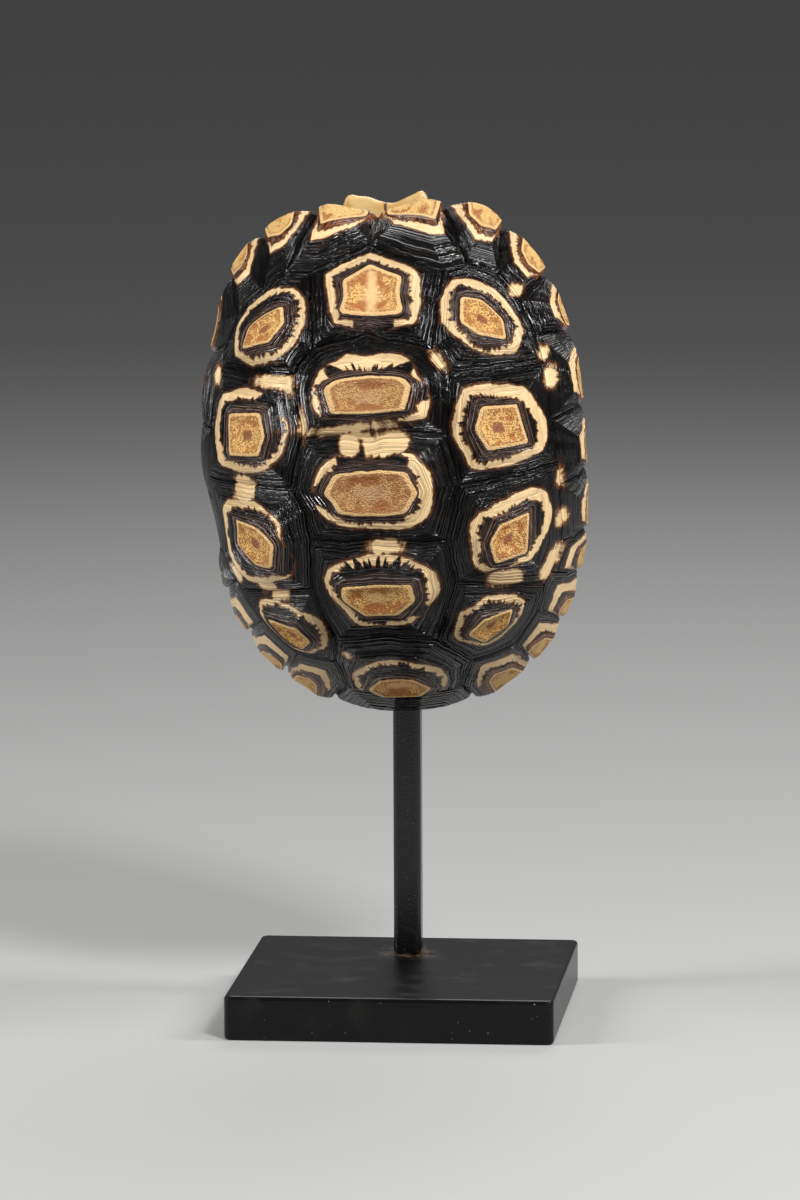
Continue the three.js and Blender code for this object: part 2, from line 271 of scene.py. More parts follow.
# Marginals: the corners that each inner edge has besides its two ends, the areola as (share
# from the tail seam to the head seam, place in the chart), and the cream band's stations as
# (degrees from outward toward the head, its start and end from 0 at the areola to 1 at the
# seam). A band that ends before it starts is a gap.
MARGINAL_EXTRAS = {1: "v1 m1 c1", 5: "m5 c1 c2", 6: "m6 c2 c3", 9: "m9 c3 c4", 11: "v5 c4 m11"}
MARGINAL_AREOLA = [(.06, 1.02), (.08, .95), (.3, .925), (.54, .95), (.64, 1.02), (.6, 1.1),
                   (.1, 1.1)]
SIDE_MARGINAL_AREOLA = [(.06, 1.02), (.08, .975), (.3, .96), (.54, .975), (.64, 1.02), (.6, 1.1),
                        (.1, 1.1)]
SIDE_MARGINALS = range(4, 8)
MARGINAL_AREOLAE = {
    **{number: SIDE_MARGINAL_AREOLA for number in SIDE_MARGINALS},
    1: [(.06, 1.02), (.06, .925), (.3, .935), (.84, .985), (.88, 1.02), (.6, 1.1), (.1, 1.1)],
    9: [(.04, 1.02), (.05, .94), (.2, .925), (.4, .95), (.46, 1.02), (.4, 1.1), (.1, 1.1)],
    10: [(.05, 1.02), (.1, .92), (.3, .915), (.52, .95), (.56, 1.02), (.5, 1.1), (.1, 1.1)],
    11: [(.3, 1.02), (.34, .93), (.5, .905), (.74, .94), (.8, 1.02), (.7, 1.1), (.3, 1.1)],
}
MARGINAL_BAND = [(0, .3, .9), (45, .22, .7), (80, .22, .7), (110, .2, .56), (135, .17, .44),
                 (180, .16, .36), (225, .2, .3), (262, .5, .3)]
SIDE_MARGINAL_BAND = [(0, .3, .8), (45, .2, .6), (80, .16, .5), (110, .1, .4), (135, .08, .3),
                      (180, .06, .26), (225, .08, .24), (262, .5, .3)]
LEFT_MARGINAL_BAND = [(0, .3, .2), (60, .2, .1), (95, .15, .3), (125, .2, .1), (180, .2, .1),
                      (225, .12, .2), (262, .5, .3)]
FIRST_MARGINAL_BAND = [(0, .3, .9), (45, .2, .5), (90, .16, .32), (135, .16, .3), (180, .16, .33),
                       (225, .16, .4), (250, .2, .34), (268, .5, .3)]
TAIL_MARGINAL_BAND = [(0, .3, .9), (45, .15, .8), (90, .22, .68), (135, .28, .6), (180, .3, .58),
                      (225, .3, .5), (262, .5, .3)]
TAIL_SCUTE_AREOLA = [(.4, 1.15), (.5, 1.13), (.6, 1.15), (.58, 1.2), (.42, 1.2)]
TAIL_SCUTE_BAND = [(0, .5, .3)]
PLASTRAL_BAND = [(0, .6, .5)]

# Cream patches that lie across the seams: (across, along, half width, half height, tilt).
PATCHES = [
    (-4.0, 8.9, 2.3, 2.5, 0),
    (-1.2, 10.6, 2.0, 0.8, 0),
    (0.3, 8.7, 1.3, 2.6, 0),
    (2.6, 8.1, 2.6, 1.9, 0),
    (5.1, 9.1, 3.3, 2.4, 0),
    (2.2, -12.7, 3.6, 1.6, 0),
    (-20.4, 21.7, 4.3, 1.3, 0),
    (-17.0, 20.6, 0.9, 1.7, 0),
    (-27.8, -0.6, 2.5, 2.9, 0),
    (25.8, -21.6, 3.4, 2.2, 0),
    (14.7, 25.0, 1.1, 2.3, 35),
    (29.8, 37.6, 1.4, 1.2, 0),
    (-4.9, 12.0, 9.2, 0.8, 4),
    (-14.1, 13.6, 0.9, 3.0, 0),
    (-24.3, -21.6, 2.2, 1.7, 0),
    (-21.5, -23.6, 2.0, 1.3, 0),
    (-9.3, -38.0, 1.2, 0.8, -30),
    (35.0, 24.3, 1.0, 1.4, 0),
    (36.3, 19.2, 1.1, 2.2, 0),
    (37.5, -1.8, 0.8, 2.0, 0),
    (37.2, -10.5, 1.2, 1.8, 0),
    (34.6, -20.0, 4.0, 1.4, 60),
    (-31.5, -19.5, 1.3, 2.2, 30),
    (-34.6, 21.8, 1.0, 2.0, 0),
]

# ---- the carapace's surface


def smooth(t):
    """An ease from 0 to 1 as t goes from 0 to 1: three t squared minus two t cubed."""
    t = np.clip(t, 0, 1)
    return t * t * (3 - 2 * t)


def mix(a, b, t):
    """From a at t = 0 to b at t = 1 in a straight line."""
    return a + (b - a) * t


def vec(*parts):
    """Parts side by side along a new last axis."""
    return np.stack(np.broadcast_arrays(*parts), axis=-1).astype(float)


def left_inset(along):
    """How far the left side stands in: the even part and a bell curve for each hollow."""
    hollows = sum(depth * np.exp(-((along - middle) / reach) ** 2)
                  for middle, depth, reach in LEFT_HOLLOWS)
    return LEFT_INSET + hollows


def rim_radius(angle):
    """A superellipse in polar form, squarer at the head than at the tail, and pulled in on the
    left."""
    power = OUTLINE_POWER + HEAD_POWER * np.sin(angle)
    length = np.where(np.sin(angle) > 0, HEAD_LENGTH, TAIL_LENGTH)
    across = np.abs(np.cos(angle)) / HALF_WIDTH
    along = np.abs(np.sin(angle)) / length
    radius = (across ** power + along ** power) ** (-1 / power)
    return radius - left_inset(radius * np.sin(angle)) * np.maximum(-np.cos(angle), 0)


def mixed_profile(angle):
    """Slope, handle, crown share and rim height: the squared sine of the angle weighs the head
    or the tail, and what is left weighs the sides."""
    head = np.maximum(np.sin(angle), 0) ** 2
    tail = np.maximum(-np.sin(angle), 0) ** 2
    weights = vec(head, 1 - head - tail, tail)
    return np.moveaxis(weights @ np.array([HEAD, SIDE, TAIL], float), -1, 0)


def bezier(controls, t):
    """A cubic curve through four control points, and its unit direction."""
    u = 1 - t
    point = sum(w[..., None] * c for w, c in zip((u**3, 3*u*u*t, 3*u*t*t, t**3), controls))
    steps = [b - a for a, b in zip(controls, controls[1:])]
    along = sum(w[..., None] * s for w, s in zip((u*u, 2*u*t, t*t), steps))
    return point, along / np.linalg.norm(along, axis=-1, keepdims=True)


def section_curve(angle, place, depth=0.0):
    """The section in one direction as (radius, height): a cubic from the crown at place 0 to
    the rim at place 1, and a second cubic that turns under the bridge to place 2, moved inward
    by a depth along its normal."""
    slope, handle, crown, rim = mixed_profile(angle)
    radius = rim_radius(angle)
    along = vec(np.cos(np.radians(slope)), -np.sin(np.radians(slope)))
    edge = vec(radius, rim)
    dome = (vec(0 * radius, DOME_TOP), vec(crown * radius, DOME_TOP),
            edge - along * handle[..., None], edge)
    under = (edge, edge + along * BRIDGE_DROP * BRIDGE_HANDLE_IN,
             vec(radius - BRIDGE_INSET * BRIDGE_HANDLE_IN, rim - BRIDGE_DROP * BRIDGE_HANDLE_DOWN),
             vec(radius - BRIDGE_INSET, rim - BRIDGE_DROP))
    on_dome = place <= 1
    controls = [np.where(on_dome[..., None], a, b) for a, b in zip(dome, under)]
    point, direction = bezier(controls, np.where(on_dome, place, place - 1))
    return point - depth * vec(-direction[..., 1], direction[..., 0])


def free_edge(angle, t):
    """The open ends' edge as (radius, height): half a turn round the middle of the wall up to
    t = 0.5, and then back along the inside of the dome."""
    slope = np.radians(mixed_profile(angle)[0])
    along = vec(np.cos(slope), -np.sin(slope))
    outward = vec(np.sin(slope), np.cos(slope))
    turn = np.pi * np.clip(t * 2, 0, 1)[..., None]
    edge = section_curve(angle, np.ones_like(angle))
    round_edge = edge + WALL / 2 * (outward * (np.cos(turn) - 1) + along * np.sin(turn))
    inside = section_curve(angle, 1 - LIP * (2 * np.clip(t, 0.5, 1) - 1), WALL)
    return np.where((t < 0.5)[..., None], round_edge, inside)


def bridge_share(angle):
    """One where the rim turns under to the plastron, none at the open ends."""
    height = np.abs(rim_radius(angle) * np.sin(angle))
    return 1 - smooth((height - BRIDGE_HALF_LENGTH + BRIDGE_FADE / 2) / BRIDGE_FADE)


def rim_shift(angle):
    """How far the rim is pulled in: each seam's dip fades exponentially along the rim, the
    notch rises in straight lines, and each swell is a bell curve."""
    degrees, depth, reach = NOTCH
    total = depth * np.maximum(1 - np.abs(rim_run(angle, degrees)) / reach, 0)
    for on_right, on_left, dip in RIM_SEAMS.values():
        for past_seam in (-rim_run(angle, on_right), rim_run(angle, on_left)):
            fade = np.where(past_seam > 0, TAILWARD_FADE, HEADWARD_FADE)
            total += dip * np.exp(-np.abs(past_seam) / fade)
    for degrees, swell, reach in RIM_SWELLS:
        total -= swell * np.exp(-(rim_run(angle, degrees) / reach) ** 2)
    return total


def rim_run(angle, degrees):
    """How far along the rim an angle is past a direction: the angle between times the radius."""
    apart = (angle - np.radians(degrees) + np.pi) % (2 * np.pi) - np.pi
    return apart * rim_radius(angle)


def to_axes(angle, section):
    """(radius, height) in a direction as (across, along, out)."""
    radius, height = section[..., 0], section[..., 1]
    return vec(radius * np.cos(angle), radius * np.sin(angle), height)


def carapace_skin(chart):
    """The outer surface over the disc chart: the dome inside radius 1, and past it a mix of
    the open ends' edge and the bridge's turn, with the rim dipped in at the seams."""
    place = np.hypot(chart[..., 0], chart[..., 1])
    angle = np.arctan2(chart[..., 1], chart[..., 0])
    past = np.clip((place - 1) / (RIM_END - 1), 0, 1)
    free = free_edge(angle, past)
    turned = section_curve(angle, 1 + past)
    beyond = mix(free, turned, bridge_share(angle)[..., None])
    on_dome = section_curve(angle, np.minimum(place, 1))
    section = np.where((place <= 1)[..., None], on_dome, beyond)
    section[..., 0] -= rim_shift(angle) * smooth((place - DIPS_FROM) / (1 - DIPS_FROM))
    return to_axes(angle, section)


def carapace_chart(points):
    """The chart's place of points given as (across, along), by halving the interval 30 times."""
    points = np.asarray(points, float)
    angle = np.arctan2(points[..., 1], points[..., 0])
    radius = np.hypot(points[..., 0], points[..., 1])
    low, high = np.zeros_like(radius), np.ones_like(radius)
    for _ in range(30):
        middle = (low + high) / 2
        inside = section_curve(angle, middle)[..., 0] < radius
        low, high = np.where(inside, middle, low), np.where(inside, high, middle)
    return vec(low * np.cos(angle), low * np.sin(angle))


def normals_of(skin, chart, reach=2e-3):
    """Unit normals from central differences of the surface over its chart."""
    dx = skin(chart + [reach, 0]) - skin(chart - [reach, 0])
    dy = skin(chart + [0, reach]) - skin(chart - [0, reach])
    normal = np.cross(dx, dy)
    return normal / np.linalg.norm(normal, axis=-1, keepdims=True)


# ---- parts of a scute

def between(a, b, t, polar):
    """Places from a to b in the chart, straight or, for an arc, by radius and angle."""
    if not polar:
        return a + (b - a) * t
    angle_a, angle_b = np.arctan2(a[1], a[0]), np.arctan2(b[1], b[0])
    turn = (angle_b - angle_a + np.pi) % (2 * np.pi) - np.pi
    angle = angle_a + turn * t
    radius = mix(np.hypot(*a), np.hypot(*b), t)
    return np.concatenate([radius * np.cos(angle), radius * np.sin(angle)], axis=-1)


def met_by_rays(outline, middle, rays):
    """Where rays from the middle of a convex outline cross it: each ray is solved against each
    side, and the nearest crossing ahead is kept."""
    a = outline[None] - middle
    side = np.roll(outline, -1, axis=0)[None] - middle - a
    ray = rays[:, None]
    cross = ray[..., 0] * side[..., 1] - ray[..., 1] * side[..., 0]
    cross = np.where(np.abs(cross) < 1e-12, 1e-12, cross)
    reach = (a[..., 0] * side[..., 1] - a[..., 1] * side[..., 0]) / cross
    along = (a[..., 0] * ray[..., 1] - a[..., 1] * ray[..., 0]) / cross
    met = (reach > 0) & (along > -1e-6) & (along < 1 + 1e-6)
    return middle + rays * np.where(met, reach, np.inf).min(axis=1)[:, None]


def rounded(points, passes):
    """A closed row of points with its corners eased: each pass is a weighted mean of three."""
    for _ in range(passes):
        points = (np.roll(points, 1, axis=0) + 2 * points + np.roll(points, -1, axis=0)) / 4
    return points


def growth_rows(count):
    """Rows from the areola to the seam, closer together near both by a sine wave."""
    t = np.linspace(0, 1, count + 1)[1:]
    return t - ROW_CROWDING * np.sin(2 * np.pi * t) / (2 * np.pi)


def ring_quads(grid):
    """Quads between the rows of a grid of point numbers that closes on itself."""
    after = np.roll(grid, -1, axis=1)
    return np.stack([grid[:-1], grid[1:], after[1:], after[:-1]], axis=-1).reshape(-1, 4)


def eased(stations, turn):
    """The values of stations (degrees, value, ...) in every direction, eased in between."""
    degrees = np.array([station[0] for station in stations], float) % 360
    order = np.argsort(degrees)
    ring = np.append(degrees[order], degrees[order][0] + 360)
    at = (np.degrees(turn) - ring[0]) % 360 + ring[0]
    k = np.clip(np.searchsorted(ring, at, side="right") - 1, 0, len(order) - 1)
    t = smooth((at - ring[k]) / (ring[k + 1] - ring[k]))
    values = np.array([station[1:] for station in stations], float)[order]
    return mix(values[k], values[(k + 1) % len(order)], t[:, None]).T


def drawn_band(edge, widths):
    """A cream band from its outer edge in the chart and its widths. Every band is asked with
    the areola's middle and outline, the seam, the directions, and the distances between."""
    def band(middle, hatch, seam, turn, length):
        """Where the outer edge lies from the areola to the seam, and the width, eased."""
        met = rounded(met_by_rays(edge, middle, seam - middle), 2)
        growth = np.linalg.norm(seam - hatch, axis=1)
        outer = ((met - hatch) * (seam - hatch)).sum(axis=1) / growth ** 2
        return outer, eased(widths, turn)[0] * BAND_STRETCH
    return band


def plain_band(stations):
    """A cream band from stations (degrees, start, end)."""
    def band(middle, hatch, seam, turn, length):
        """The outer edge, and the width as the eased share of the length."""
        start, end = eased(stations, turn)
        return end, (end - start) * length
    return band


def ring_phase(u, rings):
    """How many growth rings lie between the areola and u, for rings of uneven width."""
    widths = RNG.uniform(*RING_WIDTHS, rings)
    edges = np.concatenate([[0], np.cumsum(widths) / widths.sum()])
    return np.interp(u, edges, np.arange(rings + 1.0))


def relief(height, terrace, ring, phase, to_seam):
    """The height of a scute: a mound that falls to the seam, six tenths of it evenly and four
    tenths eased, and on it a sine's arch for each growth ring, a bell curve for the rim round
    the sunken areola, and another bell curve for the groove at the seam."""
    grown = np.maximum(ring, 0)
    mound = height * (1 - 0.6 * grown - 0.4 * smooth(grown))
    step = phase - np.floor(phase)
    steps = terrace * (np.sin(np.pi * step) ** 0.6 - 0.6) * (ring > 0) * smooth(to_seam)
    rim = np.exp(-((ring + 0.12) / 0.1) ** 2) - smooth((-0.2 - ring) / 0.3)
    groove = SEAM_LIFT * np.exp(-(to_seam / GROOVE_WIDTH) ** 2)
    return mound + steps + terrace * rim + groove


# ---- growing scutes

SEAM_STEP = 1.2
# How far the seams wave sideways, and the two sines of that as (turn per mm, share).
SEAM_WAVE = 0.12
SEAM_SINES = ((0.55, 1.0), (1.4, 0.6))
SEAM_LIFT = -0.5
GROOVE_WIDTH = 0.5
# The narrowest and widest growth ring, as shares of the mean, and how much the rows crowd.
RING_WIDTHS = (0.55, 1.45)
ROW_CROWDING = 0.55
# The values that the material reads, as they are at a seam: the growth from -1 in the middle
# of the areola over 0 at its outline to 1, the distances to the seam and past the areola; how
# far past the cream band's inner edge and inside its outer one, and the ring; the direction as
# cosine and sine, and a random number for each scute; and which kind of scute it is.
SEAM_DATA = {
    "growth": (1.0, 0.0, 9.0),
    "cream": (-9.0, -9.0, 0.0),
    "ray": (1.0, 0.0, 0.5),
    "kind": (0.0, 0.0, 0.0),
}
KINDS = {
    "vertebral": (1.0, 0.0, 0.0),
    "costal": (0.0, 1.0, 0.0),
    "marginal": (0.0, 0.0, 1.0),
    "plastral": (0.0, 0.0, 0.0),
}
# Per kind: the height of the mound, that of its terraces, the number of growth rings, and the
# rows of the grid inside the areola and outside it.
BUILD = {
    "vertebral": (1.9, 0.4, 9, 6, 41),
    "costal": (1.9, 0.4, 9, 6, 41),
    "marginal": (0.4, 0.22, 6, 3, 22),
    "plastral": (0.3, 0.08, 9, 4, 24),
}
RNG = np.random.default_rng(11)


class Sheet:
    """Scutes grown side by side over one surface, with their seams' points in common. Points
    are places in the surface's chart, lift is the height over it, data holds the values that
    the material reads, and faces run counterclockwise from outside."""

    def __init__(self, skin, chart_length, polar_from):
        self.skin = skin
        self.chart_length = chart_length
        self.polar_from = polar_from
        self.points = np.zeros((0, 2))
        self.lift = np.zeros(0)
        self.data = {name: np.zeros((0, 3)) for name in SEAM_DATA}
        self.faces = []
        self.corners = {}
        self.seams = {}

    def add(self, points, lift, data):
        """Takes in points and returns their numbers."""
        first = len(self.points)
        self.points = np.concatenate([self.points, points])
        self.lift = np.concatenate([self.lift, np.broadcast_to(lift, len(points))])
        for name, values in data.items():
            rows = np.broadcast_to(values, (len(points), 3))
            self.data[name] = np.concatenate([self.data[name], rows])
        return np.arange(first, len(self.points))

    def corner(self, key, place):
        """The number of a corner, which is added the first time."""
        if key not in self.corners:
            self.corners[key] = self.add(np.array([place]), SEAM_LIFT, SEAM_DATA)[0]
        return self.corners[key]

    def seam(self, start, end):
        """The numbers from one corner up to the next: a seam is straight in the chart, or an
        arc past the rim, with a slow sideways wave that dies out at both corners."""
        first, last = self.corner(*start), self.corner(*end)
        if (first, last) not in self.seams:
            a, b = np.array(start[1]), np.array(end[1])
            polar = min(np.hypot(*a), np.hypot(*b)) > self.polar_from
            run = self.skin(between(a, b, np.linspace(0, 1, 9)[:, None], polar))
            length = np.linalg.norm(np.diff(run, axis=0), axis=1).sum()
            steps = max(2, int(np.ceil(length / SEAM_STEP)))
            t = np.linspace(0, 1, steps + 1)[1:-1, None]
            line = between(a, b, t, polar)
            phase = RNG.uniform(0, 2 * np.pi, 2)
            if not polar:
                side = np.array([a[1] - b[1], b[0] - a[0]]) / np.hypot(*(b - a))
                wave = sum(share * np.sin(t * length * pace + shift)
                           for (pace, share), shift in zip(SEAM_SINES, phase))
                line = line + side * wave * np.sin(np.pi * t) * SEAM_WAVE / self.chart_length
            inner = self.add(line, SEAM_LIFT, SEAM_DATA)
            self.seams[first, last] = inner
            self.seams[last, first] = inner[::-1]
        return np.concatenate([[first], self.seams[first, last]])

    def grow(self, kind, corners, areola, band):
        """One scute as a polar grid: rows from the areola's middle to its outline and from
        there to the seam, and a column for each point of the seam."""
        height, terrace, rings, areola_rows, outer_rows = BUILD[kind]
        loop = np.concatenate([self.seam(a, b) for a, b in zip(corners, corners[1:] + corners[:1])])
        seam = self.points[loop]
        outline = np.array(areola, float)
        middle = outline.mean(axis=0)
        hatch = rounded(met_by_rays(outline, middle, seam - middle), 2)
        ring = np.concatenate([np.linspace(-1, 0, areola_rows + 1)[1:],
                               growth_rows(outer_rows)])[:, None]
        chart = middle + np.minimum(ring + 1, 1)[..., None] * (hatch - middle)
        chart = chart + np.maximum(ring, 0)[..., None] * (seam - hatch)
        gaps = np.linalg.norm(np.diff(self.skin(chart), axis=0), axis=-1)
        run = np.concatenate([np.zeros((1, len(loop))), np.cumsum(gaps, axis=0)])
        to_seam = run[-1] - run
        past_areola = run - run[areola_rows - 1]
        turn = np.arctan2(seam[:, 1] - middle[1], seam[:, 0] - middle[0])
        outer, width = band(middle, hatch, seam, turn, past_areola[-1])
        outside = (outer - ring) * past_areola[-1]
        phase = ring_phase(np.maximum(ring, 0), rings)
        lift = relief(height, terrace, ring, phase, to_seam)
        data = {
            "growth": vec(ring, to_seam, past_areola),
            "cream": vec(width - outside, outside, phase),
            "ray": vec(np.cos(turn), np.sin(turn), RNG.uniform() + 0 * ring),
            "kind": np.broadcast_to(KINDS[kind], run.shape + (3,)),
        }
        inside = self.add(chart[:-1].reshape(-1, 2), lift[:-1].ravel(),
                          {name: v[:-1].reshape(-1, 3) for name, v in data.items()})
        hub = self.add(middle[None], lift[0].mean(), {
            **{name: v[0].mean(axis=0) for name, v in data.items()},
            "growth": (-1.0, to_seam[0].mean(), past_areola[0].mean()),
        })[0]
        grid = np.vstack([inside.reshape(len(ring) - 1, len(loop)), loop])
        around = [np.full(len(loop), hub), grid[0], np.roll(grid[0], -1)]
        self.faces += [ring_quads(grid), np.stack(around, axis=-1)]


# ---- the carapace

# Rows of the wall's bone side, and how far from the lip's end they start at the open ends.
WALL_ROWS = 22
WALL_GAP = 0.05
# About how long one unit of the carapace's chart is, and from where its seams are arcs.
CHART_LENGTH = 45.0
ARCS_FROM = 0.99


def at_degrees(degrees, place):
    """The chart's place in a direction given in degrees."""
    angle = np.radians(degrees)
    return vec(place * np.cos(angle), place * np.sin(angle))


def dome_corner(key):
    """A corner on the dome as (key, its place in the chart)."""
    if key in MIDLINE:
        return key, carapace_chart(MIDLINE[key])
    name, side = key
    return key, carapace_chart(CORNERS[name][side])


def rim_corners(name, side):
    """A marginal seam's ends at the rim and at the end of the horn, and its degrees."""
    degrees = NOTCH[0] if name == "m1 m1" else RIM_SEAMS[name][side]
    side = R if name == "m1 m1" else side
    at_rim = ("rim", name, side), at_degrees(degrees, 1.0)
    at_end = ("end", name, side), at_degrees(degrees, RIM_END)
    return at_rim, at_end, degrees


def marginal_band(number, side):
    """The cream band's stations on a marginal: broad at the ends, narrow along the sides."""
    if number == 1:
        return FIRST_MARGINAL_BAND
    if number < SIDE_MARGINALS.start:
        return MARGINAL_BAND
    if side == L and number <= SIDE_MARGINALS.stop:
        return LEFT_MARGINAL_BAND
    return SIDE_MARGINAL_BAND if number in SIDE_MARGINALS else TAIL_MARGINAL_BAND


def marginal_parts(number, side):
    """A marginal's corners counterclockwise from outside, its areola, and its cream band."""
    tail = f"m{number} m{number + 1}" if number < 11 else "m11 s"
    head = f"m{number - 1} m{number}" if number > 1 else "m1 m1"
    inner_tail = dome_corner((tail if number < 11 else "v5 m11 s", side))
    inner_head = dome_corner((head, side) if number > 1 else head)
    rim_tail, end_tail, tail_degrees = rim_corners(tail, side)
    rim_head, end_head, head_degrees = rim_corners(head, side)
    corners = [inner_tail, rim_tail, end_tail, end_head, rim_head, inner_head]
    if number in MARGINAL_EXTRAS:
        corners.append(dome_corner((MARGINAL_EXTRAS[number], side)))
    areola = [at_degrees(mix(tail_degrees, head_degrees, share), place)
              for share, place in MARGINAL_AREOLAE.get(number, MARGINAL_AREOLA)]
    outward = (tail_degrees + head_degrees) / 2
    sign = 1 if side == R else -1
    band = [(outward + sign * degrees, start, end)
            for degrees, start, end in marginal_band(number, side)]
    return corners if side == R else corners[::-1], areola, plain_band(band)


def tail_scute_parts():
    """The corners, areola and band of the one scute over the tail."""
    rim_right, end_right, first = rim_corners("m11 s", R)
    rim_left, end_left, last = rim_corners("m11 s", L)
    inner = [dome_corner(key) for key in (("v5 m11 s", R), "v5 s", ("v5 m11 s", L))]
    corners = inner + [rim_left, end_left, end_right, rim_right]
    areola = [at_degrees(mix(first % 360, last, share), place)
              for share, place in TAIL_SCUTE_AREOLA]
    return corners, areola, plain_band(TAIL_SCUTE_BAND)


def grow_carapace():
    """All the scutes of the carapace on one sheet."""
    sheet = Sheet(carapace_skin, CHART_LENGTH, ARCS_FROM)
    large = [("vertebral", f"v{number}", keys) for number, keys in VERTEBRAL_CORNERS.items()]
    for number, names in COSTAL_CORNERS.items():
        large.append(("costal", f"c{number}r", right(*names)))
        large.append(("costal", f"c{number}l", left(*names)))
    for kind, name, keys in large:
        corners = [dome_corner(key) for key in keys]
        band = drawn_band(carapace_chart(BAND_EDGES[name]), BAND_WIDTHS[name])
        sheet.grow(kind, corners, carapace_chart(AREOLAE[name]), band)
    for number in range(1, 12):
        for side in (R, L):
            sheet.grow("marginal", *marginal_parts(number, side))
    sheet.grow("marginal", *tail_scute_parts())
    return sheet


def inner_wall(angle, rows):
    """The bone side of the wall: rows of points from the horn's end back up to the crown, at
    the depth of the wall, and the point under the crown."""
    start = mix(1 - LIP - WALL_GAP, 2.0, bridge_share(angle))
    share = (1 - np.arange(rows) / rows)[:, None]
    around = np.broadcast_to(angle, (rows, len(angle)))
    points = to_axes(around, section_curve(around, start * share, WALL))
    return points.reshape(-1, 3), np.array([[0, 0, DOME_TOP - WALL]])


def closed_faces(grid, hub):
    """Faces between the rows of a grid of point numbers, and from its last row to a hub."""
    last = grid[-1]
    cap = np.stack([last, np.full(len(last), hub), np.roll(last, -1)], axis=-1)
    return [ring_quads(grid), cap]


def carapace_arrays():
    """Points, horn faces, bone faces and data of the whole carapace."""
    sheet = grow_carapace()
    chart = sheet.points
    base = carapace_skin(chart)
    outer = base + normals_of(carapace_skin, chart) * sheet.lift[:, None]
    ends = np.flatnonzero(np.hypot(chart[:, 0], chart[:, 1]) > RIM_END - 1e-6)
    angle = np.arctan2(chart[ends, 1], chart[ends, 0])
    order = np.argsort(angle)
    ends, angle = ends[order], angle[order]
    wall, pole = inner_wall(angle, WALL_ROWS)
    first = len(outer)
    grid = np.vstack([ends, np.arange(first, first + len(wall)).reshape(WALL_ROWS, -1)])
    bone = closed_faces(grid, first + len(wall))
    points = np.concatenate([outer, wall, pole])
    data = {**sheet.data, "patch": vec(patches_at(base[:, :2]), 0.0, 0.0)}
    return points, sheet.faces, bone, data


def patches_at(places):
    """How far inside a cream patch each place is in mm, the most over all patches: a patch is a
    tilted rounded box, its rounding a power norm."""
    most = np.full(len(places), -9.0)
    for across, along, half_width, half_height, tilt in PATCHES:
        turn = np.radians(tilt)
        x, y = (places - [across, along]).T
        u = (x * np.cos(turn) + y * np.sin(turn)) / half_width
        v = (y * np.cos(turn) - x * np.sin(turn)) / half_height
        norm = (np.abs(u) ** 3 + np.abs(v) ** 3) ** (1 / 3)
        inside = (1 - norm) * min(half_width, half_height)
        most = np.maximum(most, inside)
    return most


# ---- the plastron

PLASTRON_EDGE_ROWS = 6
PLASTRON_INNER_ROWS = 14
# How far its edge bulges, as a share of half its thickness; how much of its scutes' lift is
# used; the size of their areolae, as a share of the scute; and from where on toward the head
# the horn covers the inner face too.
PLASTRON_BULGE = 0.4
PLASTRON_RELIEF = 0.5
PLASTRON_AREOLA = 0.22
HORN_WRAPS_FROM = 45
# Where the seams cross the midline, and the right half's outline from each crossing's seam to
# the next, as (across, along). The left half mirrors it except at the two tips of the front.
PLASTRON_MIDDLE = -0.4
PLASTRON_CROSSINGS = (54.3, 45, 30, 24, -16, -36, -46)
PLASTRON_SEAM_ENDS = ((12.0, 50), (21.0, 31), (37.0, 8), (22.6, -28), (19.2, -38))
GULAR_TIPS = (
    [(1.4, 54.1), (4.6, 55.4), (6.4, 56.0), (7.6, 56.8), (8.2, 55.4), (8.4, 54.0), (10.2, 52.6)],
    [(-2.1, 54.7), (-3.6, 55.5), (-6.0, 55.8), (-8.3, 56.5), (-9.0, 54.8), (-9.8, 52.8)],
)
PLASTRON_EDGES = (
    [(17.2, 44), (19.7, 36)],
    [(22, 28.6), (30, 25), (36.2, 20)],
    [(36.9, 0), (35.5, -19.5), (31, -26)],
    [(22, -29.4)],
    [(16.7, -42), (14.3, -44.6), (7, -49)],
)


def plastron_skin(chart):
    """The plastron's outer face over a chart of (-across, along): flat in the middle, and
    rising along a parabola in the wings."""
    reach = np.maximum(np.abs(chart[..., 0]) - FLAT_HALF_WIDTH, 0) / WING_WIDTH
    return vec(-chart[..., 0], chart[..., 1], PLASTRON_FACE + WING_RISE * reach ** 2)


def plastron_corner(name, side, point):
    """A corner of the plastron as (key, place); side 1 mirrors the right half and stands in
    as the carapace does."""
    inset = left_inset(point[1]) * point[0] / HALF_WIDTH
    across = point[0] if side == R else inset - point[0]
    return (name, side), np.array([-across, point[1]])


def plastron_halves():
    """Per side: the six scutes' corner rows from the midline out and back, and the outline."""
    middle = [(("mid", k), np.array([-PLASTRON_MIDDLE, z]))
              for k, z in enumerate(PLASTRON_CROSSINGS)]
    scutes, outlines = [], []
    for side in (R, L):
        ends = [plastron_corner(f"end {k}", side, p) for k, p in enumerate(PLASTRON_SEAM_ENDS)]
        tips = [((f"tip {k}", side), np.array([-p[0], p[1]]))
                for k, p in enumerate(GULAR_TIPS[side])]
        rows = [tips] + [[plastron_corner(f"edge {k} {j}", side, p) for j, p in enumerate(row)]
                         for k, row in enumerate(PLASTRON_EDGES)]
        outline = []
        for k, row in enumerate(rows):
            before = [ends[k - 1]] if k else []
            after = [ends[k]] if k < len(ends) else []
            corners = [middle[k]] + before + row + after + [middle[k + 1]]
            scutes.append(corners if side == R else corners[::-1])
            outline += before + row
        outlines.append(outline)
    loop = [middle[0]] + outlines[R] + [middle[-1]] + outlines[L][::-1]
    return scutes, loop


